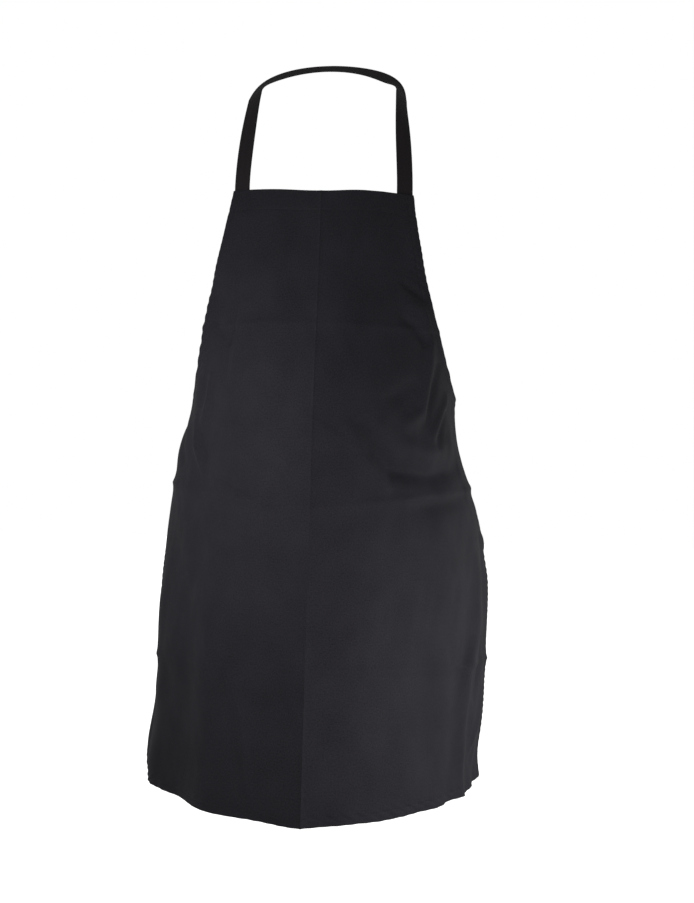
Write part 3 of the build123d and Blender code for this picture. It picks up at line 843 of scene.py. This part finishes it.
def stitch_template():
    """One stitch as a small flattened sausage along x, its points and faces."""
    # Each ring: its place along the stitch, its size, and how far it sinks into the cloth
    end, shoulder, middle = (0.35, -0.9), (0.9, -0.15), (1.0, 0.0)
    rings = [(-0.5, *end), (-0.36, *shoulder), (0.0, *middle), (0.36, *shoulder), (0.5, *end)]
    points = []
    for along, size, sink in rings:
        for index in range(STITCH_SIDES):
            turn = 2 * math.pi * index / STITCH_SIDES
            points.append((along * STITCH_LENGTH,
                           math.cos(turn) * size * STITCH_WIDTH / 2,
                           (math.sin(turn) * size + sink) * STITCH_HEIGHT / 2))
    faces = grid_faces(len(rings), STITCH_SIDES, flip=False, closed=True)
    faces.append(tuple(range(STITCH_SIDES))[::-1])
    faces.append(tuple((len(rings) - 1) * STITCH_SIDES + index for index in range(STITCH_SIDES)))
    return np.array(points), faces


def stitch_places(side, line, depth, outward):
    """Middle of each stitch on a line of (across, down) places, and its three directions."""
    length = distance_along(line)
    count = max(1, int(round(length[-1] / STITCH_PITCH)))
    middle = (np.arange(count) + 0.5) * length[-1] / count

    def shifted(shift, at_depth):
        across, down = (np.interp(middle + shift, length, line[:, k]) for k in (0, 1))
        return cloth_points(side, across, down, at_depth)

    centre = shifted(0.0, depth)
    along = unit(shifted(STITCH_LENGTH / 2, depth) - shifted(-STITCH_LENGTH / 2, depth))
    up = square_to(along, centre - shifted(0.0, depth + outward * MM))
    return centre, along, np.cross(up, along), up


def make_stitches(name, side, lines, depths):
    """Stitches along lines of (across, down) places, at each (depth, way out) in depths."""
    template, template_faces = stitch_template()
    points, faces = [], []
    for line in lines:
        for depth, outward in depths:
            for centre, *directions in zip(*stitch_places(side, line, depth, outward)):
                offset = len(points) * len(template)
                points.append(centre + template @ np.array(directions))
                faces.extend([tuple(i + offset for i in face) for face in template_faces])
    return mesh_piece(name, np.concatenate(points), faces, None, THREAD)


def inset_line(edge, inset):
    return edge[:, :2] + edge[:, 2:] * inset


def box_lines(across, down, width, length):
    """Outline and cross of a sewn box."""
    low = np.array([across - width / 2, down - length / 2])
    high = np.array([across + width / 2, down + length / 2])
    corners = [low, (high[0], low[1]), high, (low[0], high[1]), low]
    lines = list(zip(corners, corners[1:]))
    lines += [(low, high), ((low[0], high[1]), (high[0], low[1]))]
    return [np.array([start, end], float) for start, end in lines]


# ---------------- tapes

def tape_outline(width):
    """Cross-section (across, out) of a woven tape with slightly fuller selvedges."""
    share = np.sin(np.linspace(-math.pi / 2, math.pi / 2, TAPE_COLUMNS))
    half_thickness = (0.5 + SELVEDGE_SWELL * share ** 8) * TAPE_THICKNESS
    half_thickness[[0, -1]] *= SELVEDGE_ROUNDING
    across = np.concatenate([share, share[::-1]]) * width / 2
    return across, np.concatenate([half_thickness, -half_thickness])


def sweep_tape(name, places, widths, out_widths, width):
    """Tape along places, with a width direction and an outward direction at each."""
    across, out = tape_outline(width)
    rings = (places[:, None] + widths[:, None] * across[None, :, None]
             + out_widths[:, None] * out[None, :, None])
    length = distance_along(places)
    flat = np.stack(np.broadcast_arrays(across[None, :] + width, length[:, None]), axis=-1)
    return swept_piece(name, rings, flat, False, TAPE)


def strap_twist(side, from_corner):
    """Turn of the tape about its own line, by distance from the loop's corner."""
    corner_turn, nape_turn, rise = LOOP_TWIST[side]
    reach = np.where(from_corner < 0, TWIST_BELOW, TWIST_ABOVE)
    twist = corner_turn * np.exp(-(from_corner / reach) ** 2)
    return twist + nape_turn * (1 - np.exp(-(np.maximum(from_corner, 0.0) / rise) ** 2))


def half_strap(side):
    """Middle line and width direction from the sewn end up to the nape, on one side."""
    sewn_down = np.linspace(STRAP_END_LENGTH, 0.0, SEWN_ROWS)
    sewn = cloth_points(side, STRAP_ACROSS, sewn_down, TAPE_DEPTH)
    start = cloth_points(side, STRAP_ACROSS, STRAP_START, TAPE_DEPTH)
    up = np.array([0.0, LEAN, DROP])
    end = np.array([side * LOOP_HALF_WIDTH, -LOOP_REACH, -LOOP_DROP])
    forward = unit(np.array([0.0, -LOOP_REACH, -LOOP_DROP]))
    controls = (start, start + up * STRAP_STIFFNESS, end + forward * STRAP_STIFFNESS, end)
    run = bezier(controls, np.linspace(0.0, 1.0, RUN_ROWS))
    turn = np.linspace(math.pi / 2, 0.0, LOOP_ROWS)[1:]
    loop = np.stack([side * LOOP_HALF_WIDTH * np.sin(turn), -LOOP_REACH * (1 - np.cos(turn)),
                     -LOOP_DROP * (1 - np.cos(turn))], axis=-1)
    places = np.concatenate([sewn, run, loop])

    facing = float(ridge_angle(0.0) + STRAP_ACROSS / body_radius(0.0))
    sewn_facing = np.full(SEWN_ROWS, facing)
    run_facing = facing * (1 - smooth(np.linspace(0.0, 1.0, RUN_ROWS)))
    loop_facing = np.arctan2(LOOP_HALF_WIDTH * np.cos(turn), LOOP_REACH * np.sin(turn))
    facing = np.concatenate([sewn_facing, run_facing, loop_facing])
    widths = np.stack([np.cos(facing), side * np.sin(facing), np.zeros(len(facing))], axis=-1)

    heading = unit(np.gradient(places, axis=0))
    widths = square_to(heading, widths)
    along = distance_along(places)
    twist = strap_twist(side, along - along[SEWN_ROWS + RUN_ROWS - 1])
    twist[:SEWN_ROWS] = 0.0
    widths = widths * np.cos(twist)[:, None] + np.cross(heading, widths) * np.sin(twist)[:, None]
    return places, widths


def make_neck_tape():
    left_places, left_widths = half_strap(-1)
    right_places, right_widths = half_strap(1)
    places = np.concatenate([right_places, left_places[-2::-1]])
    widths = np.concatenate([right_widths, -left_widths[-2::-1]])
    places[:, 2] += TAPE_THICKNESS / 2
    heading = unit(np.gradient(places, axis=0))
    widths = square_to(heading, widths)
    outward = np.cross(heading, widths)
    return sweep_tape("neck_tape", places, widths, outward, STRAP_WIDTH)


def fold_down(along, across, turn_at, radius):
    """Fold a flat tape over itself on a diagonal, so that it turns from sideways to straight down.

    Takes places along and across the flat tape and gives (sideways, down, lift)."""
    past = (along - turn_at - across) / math.sqrt(2)
    arc = math.pi * radius
    bend = np.clip(past / radius, 0.0, math.pi)
    reach = np.where(past < arc, radius * np.sin(bend), -(past - arc))
    reach = np.where(past < 0, past, reach)
    lift = np.where(past < 0, 0.0, radius * (1 - np.cos(bend)))
    shift = (reach - past) / math.sqrt(2)
    return along + shift, across - shift, lift


def tie_wave(wave, side, along):
    """A slow wave along the free tie, which is nothing where the tie is sewn."""
    size, angle, start, difference = wave
    phase = along / TIE_LENGTH * angle + start + side * difference
    return size * np.sin(phase) * smooth(along / TIE_STRAIGHT)


def make_tie(name, side):
    """The sewn end, a diagonal turn and the hanging tape."""
    across, out = tape_outline(TIE_WIDTH)
    tip = TIE_PIVOT_OUT + TIE_LENGTH
    sewn_rows, turn_rows, hanging_rows = TIE_ROWS
    steps = np.concatenate([np.linspace(-TIE_END_LENGTH, -1 * MM, sewn_rows),
                            np.linspace(0.0, TIE_FINE_LENGTH, turn_rows),
                            np.linspace(TIE_FINE_LENGTH + 2 * MM, tip, hanging_rows)])
    along = np.broadcast_to(steps[:, None], (len(steps), len(across)))
    flat_across = np.broadcast_to(across[None, :], along.shape)
    sideways, down, lift = fold_down(along, flat_across, TIE_PIVOT_OUT, TIE_TURN_RADIUS)
    sway, drift, twist = (tie_wave(wave, side, along) for wave in (TIE_SWAY, TIE_DRIFT, TIE_TWIST))
    doubled = 1.0 + smooth((along - tip + TIE_HEM) / (1 * MM))

    corner = cloth_points(side, SKIRT_HALF_WIDTH, TIE_DOWN, TAPE_DEPTH)
    angle = float(ridge_angle(TIE_DOWN) + SKIRT_HALF_WIDTH / body_radius(TIE_DOWN))
    outward = np.array([side * math.sin(angle), -math.cos(angle), 0.0])
    away = np.array([side * math.cos(angle), math.sin(angle), 0.0])
    below = np.array([0.0, 0.0, -1.0])
    offset = (sideways - TIE_PIVOT_OUT) * smooth(along / TIE_TWIST_START)
    sideways = sideways + offset * (np.cos(twist) - 1) + drift
    depth = out[None, :] * doubled - lift + offset * np.sin(twist) + sway
    rings = (corner + away * sideways[..., None] + below * down[..., None]
             + outward * depth[..., None])
    sewn = along < 0
    on_cloth = cloth_points(side, SKIRT_HALF_WIDTH + np.minimum(along, 0.0),
                            TIE_DOWN + flat_across, TAPE_DEPTH - out[None, :])

    # Just past the seam the tape still follows the cloth's edge
    blend_in = smooth(along / TIE_SEAM_REACH)[..., None]
    leaving = cloth_points(side, SKIRT_HALF_WIDTH, TIE_DOWN + across, TAPE_DEPTH - out)
    straight = corner + below * across[:, None] + outward * out[:, None]
    rings = np.where(sewn[..., None], on_cloth, rings + (leaving - straight)[None] * (1 - blend_in))
    flat = np.stack([flat_across + TIE_WIDTH, along + TIE_END_LENGTH], axis=-1)
    return swept_piece(f"tie_tape_{name}", rings, flat, side > 0, TAPE)


# ---------------- build the apron


def fold_blend(piece):
    """Bake the piece's transform into its mesh; it gets no bend at the fold line."""
    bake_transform(piece)


def build_side(name, side):
    panel = make_panel(name, side)
    armhole = armhole_edge(ARMHOLE_ROWS, start=TOP_HEM + ARMHOLE_HEM_GAP)
    hem_top = make_hem(f"hem_top_{name}", side, top_edge(), TOP_HEM)
    hem_armhole = make_hem(f"hem_armhole_{name}", side, armhole, HEM)
    hem_side = make_hem(f"hem_side_{name}", side, side_edge(), HEM)
    hem_bottom = make_hem(f"hem_bottom_{name}", side, bottom_edge(), HEM)

    both_faces = [(-THREAD_LIFT, 1.0), (HEM_FAR + THREAD_LIFT, -1.0)]
    through_tape = [(-THREAD_LIFT, 1.0), (TAPE_DEPTH + TAPE_THICKNESS / 2, -1.0)]

    def stitches(part, lines, depths):
        return make_stitches(f"stitches_{part}_{name}", side, lines, depths)

    # The bottom seam ends about where the side seam comes down
    inset = HEM - SEAM_INSET
    bottom_line = inset_line(bottom_edge(), inset)[:-4]
    seam_top = stitches("top", [inset_line(top_edge(), TOP_HEM - SEAM_INSET)], both_faces)
    seam_armhole = stitches("armhole", [inset_line(armhole, inset)], both_faces)
    seam_side = stitches("side", [inset_line(side_edge(), inset)], both_faces)
    seam_bottom = stitches("bottom", [bottom_line], both_faces)
    strap_box = box_lines(STRAP_ACROSS, BOX_FROM_EDGE, STRAP_BOX_WIDTH, BOX_LENGTH)
    box_strap = stitches("strap", strap_box, through_tape)
    tie_box = box_lines(SKIRT_HALF_WIDTH - BOX_FROM_EDGE, TIE_DOWN, TIE_BOX_WIDTH, BOX_LENGTH)
    box_tie = stitches("tie", tie_box, through_tape)
    tie = make_tie(name, side)

    for piece in (panel, hem_armhole, hem_bottom, seam_armhole, seam_bottom):
        fold_blend(piece)
    for piece in (hem_top, seam_top, box_strap):
        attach(piece, "front")
    for piece in (hem_side, seam_side, box_tie):
        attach(piece, f"side_{name}")
    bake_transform(tie)

    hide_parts(f"panel_side_{name}")
    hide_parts(f"armhole_hem_upper_{name}", f"armhole_hem_lower_{name}")
    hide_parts(f"side_hem_{name}")
    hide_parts(f"bottom_hem_{name}")
    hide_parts(f"armhole_seam_upper_{name}", f"armhole_seam_lower_{name}")
    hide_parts(f"side_seam_{name}")
    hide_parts(f"bottom_seam_{name}")
    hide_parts(f"strap_stitching_{name}")
    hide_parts(f"tie_stitching_{name}")
    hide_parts(f"tie_{name}", f"tie_end_{name}")

    return panel, hem_top, seam_top, hem_bottom, seam_bottom


neck_tape = make_neck_tape()
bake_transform(neck_tape)
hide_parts("neck_strap", "strap_end_left", "strap_end_right")

halves = {name: build_side(name, side) for name, side in SIDES.items()}
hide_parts("panel_centre")
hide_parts("bib_top_hem")
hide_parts("bib_top_seam")
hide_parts("bottom_hem_centre")
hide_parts("bottom_seam_centre")


# ---------------- studio

def make_floor():
    mesh = bpy.data.meshes.new("floor")
    far = FLOOR_HALF_SIZE
    corners = [(x, y, FLOOR_Z) for x, y in ((-far, -far), (far, -far), (far, far), (-far, far))]
    mesh.from_pydata(corners, [], [(0, 1, 2, 3)])
    floor = new_object("floor", mesh)
    material = new_material("pale_floor")
    shader = material.node_tree.nodes["Principled BSDF"]
    shader.inputs["Base Color"].default_value = FLOOR_COLOUR
    shader.inputs["Roughness"].default_value = FLOOR_ROUGHNESS
    mesh.materials.append(material)
    floor.visible_diffuse = False
    floor.visible_glossy = False
    return floor


def make_softbox(name, place, target, size, spread, power):
    data = bpy.data.lights.new(name, "AREA")
    data.size = size
    data.spread = math.radians(spread)
    data.energy = power
    light = new_object(name, data)
    light.location = place
    light.rotation_euler = (Vector(target) - Vector(place)).to_track_quat("-Z", "Y").to_euler()
    light.visible_camera = False


def make_world():
    """White to the camera, and dim as a light, so that the softboxes model the folds."""
    world = bpy.data.worlds.new("studio")
    world.use_nodes = True
    nodes, links = world.node_tree.nodes, world.node_tree.links
    backdrop = nodes["Background"]
    backdrop.inputs["Color"].default_value = WHITE
    room = nodes.new("ShaderNodeBackground")
    room.inputs["Color"].default_value = WHITE
    room.inputs["Strength"].default_value = ROOM_LIGHT
    path = nodes.new("ShaderNodeLightPath")
    choose = nodes.new("ShaderNodeMixShader")
    links.new(path.outputs["Is Camera Ray"], choose.inputs[0])
    links.new(room.outputs["Background"], choose.inputs[1])
    links.new(backdrop.outputs["Background"], choose.inputs[2])
    links.new(choose.outputs["Shader"], nodes["World Output"].inputs["Surface"])
    bpy.context.scene.world = world
    bpy.context.scene.view_settings.view_transform = "Standard"


def make_top_light(floor):
    """Broad light straight down, which keeps the floor white and touches nothing else."""
    data = bpy.data.lights.new("top_light", "SUN")
    data.energy = TOP_LIGHT
    data.angle = TOP_LIGHT_SPREAD
    light = new_object("top_light", data)
    light.location = (0.0, 0.0, 2.0)
    floor_only = bpy.data.collections.new("floor_only")
    floor_only.objects.link(floor)
    light.light_linking.receiver_collection = floor_only


def make_camera():
    data = bpy.data.cameras.new("camera")
    data.sensor_fit = "AUTO"
    data.sensor_width = CAMERA_SENSOR
    data.lens = CAMERA_LENS
    data.shift_x = CAMERA_SHIFT
    camera = new_object("camera", data)
    ahead = Vector((-math.sin(CAMERA_AZIMUTH) * math.cos(CAMERA_PITCH),
                    math.cos(CAMERA_AZIMUTH) * math.cos(CAMERA_PITCH), math.sin(CAMERA_PITCH)))
    level = Vector((-math.sin(CAMERA_AZIMUTH), math.cos(CAMERA_AZIMUTH), 0.0))
    place = Vector((0.0, 0.0, CAMERA_HEIGHT)) - level * CAMERA_DISTANCE
    turn = ahead.to_track_quat("-Z", "Y").to_matrix().to_4x4() @ Matrix.Rotation(CAMERA_ROLL, 4, "Z")
    camera.matrix_world = Matrix.Translation(place) @ turn
    bpy.context.scene.camera = camera


make_world()
make_top_light(make_floor())
for softbox in SOFTBOXES:
    make_softbox(*softbox)
make_camera()
